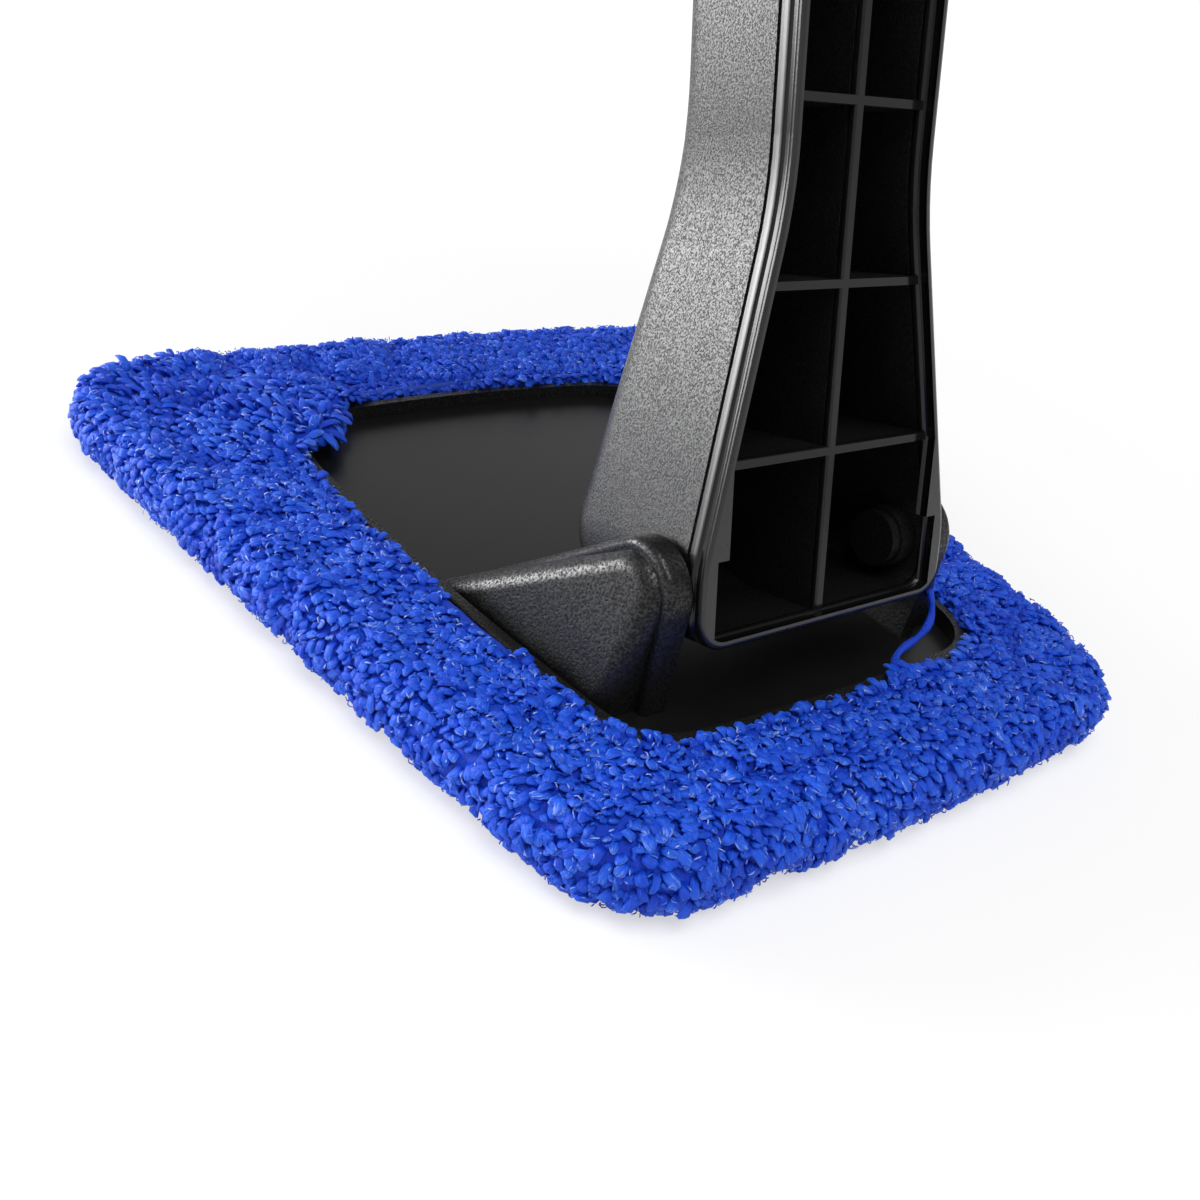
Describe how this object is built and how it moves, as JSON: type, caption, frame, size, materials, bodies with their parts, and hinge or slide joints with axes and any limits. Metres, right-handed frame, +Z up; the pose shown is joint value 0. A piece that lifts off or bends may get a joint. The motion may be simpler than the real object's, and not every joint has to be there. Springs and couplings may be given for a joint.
{
  "type": "window scrubber",
  "caption": "Hand-held window scrubber: pile bonnet stretched over a flat trapezoid head that swings between two ears on a ribbed open-backed handle.",
  "frame": {"origin": "on the floor under the middle of the head, at the centre of the part's footprint", "axes": "+Z up, +X along the head pivot, +Y towards the wide end of the head"},
  "size_m": [0.1718, 0.179, 0.2934],
  "materials": {
    "head_plastic": "black polypropylene, smooth matte tray and fine spark texture on the ears",
    "handle_plastic": "black polypropylene with a fine spark texture, smoother along the edges of the open back",
    "pin_plastic": "black acetal, smooth",
    "button_plastic": "black polypropylene, satin",
    "foam": "charcoal closed-cell foam",
    "microfibre": "royal blue looped microfibre pile",
    "elastic": "blue covered elastic",
    "spring_steel": "bright spring wire"
  },
  "bodies": {
    "head": {"head_plate": "head_plastic", "foam_pad": "foam", "bonnet": "microfibre", "bonnet_elastic": "elastic", "pivot_pin_left": "pin_plastic", "pivot_pin_right": "pin_plastic"},
    "handle": {"yoke": "handle_plastic", "grip": "handle_plastic", "latch_spring": "spring_steel"},
    "button": {"latch_button": "button_plastic"}
  },
  "joints": [
    {"name": "head_pivot", "type": "hinge", "parent": "head", "child": "handle", "pos_m": [0, -0.04615, 0.0279], "axis": [1, 0, 0], "range_deg": [-30, 107]},
    {"name": "button_press", "type": "slide", "parent": "handle", "child": "button", "axis": [0, -0.9573, 0.289], "range_m": [0, 0.0034], "stiffness_N_per_m": 900, "deforming": ["latch_spring"]}
  ]
}
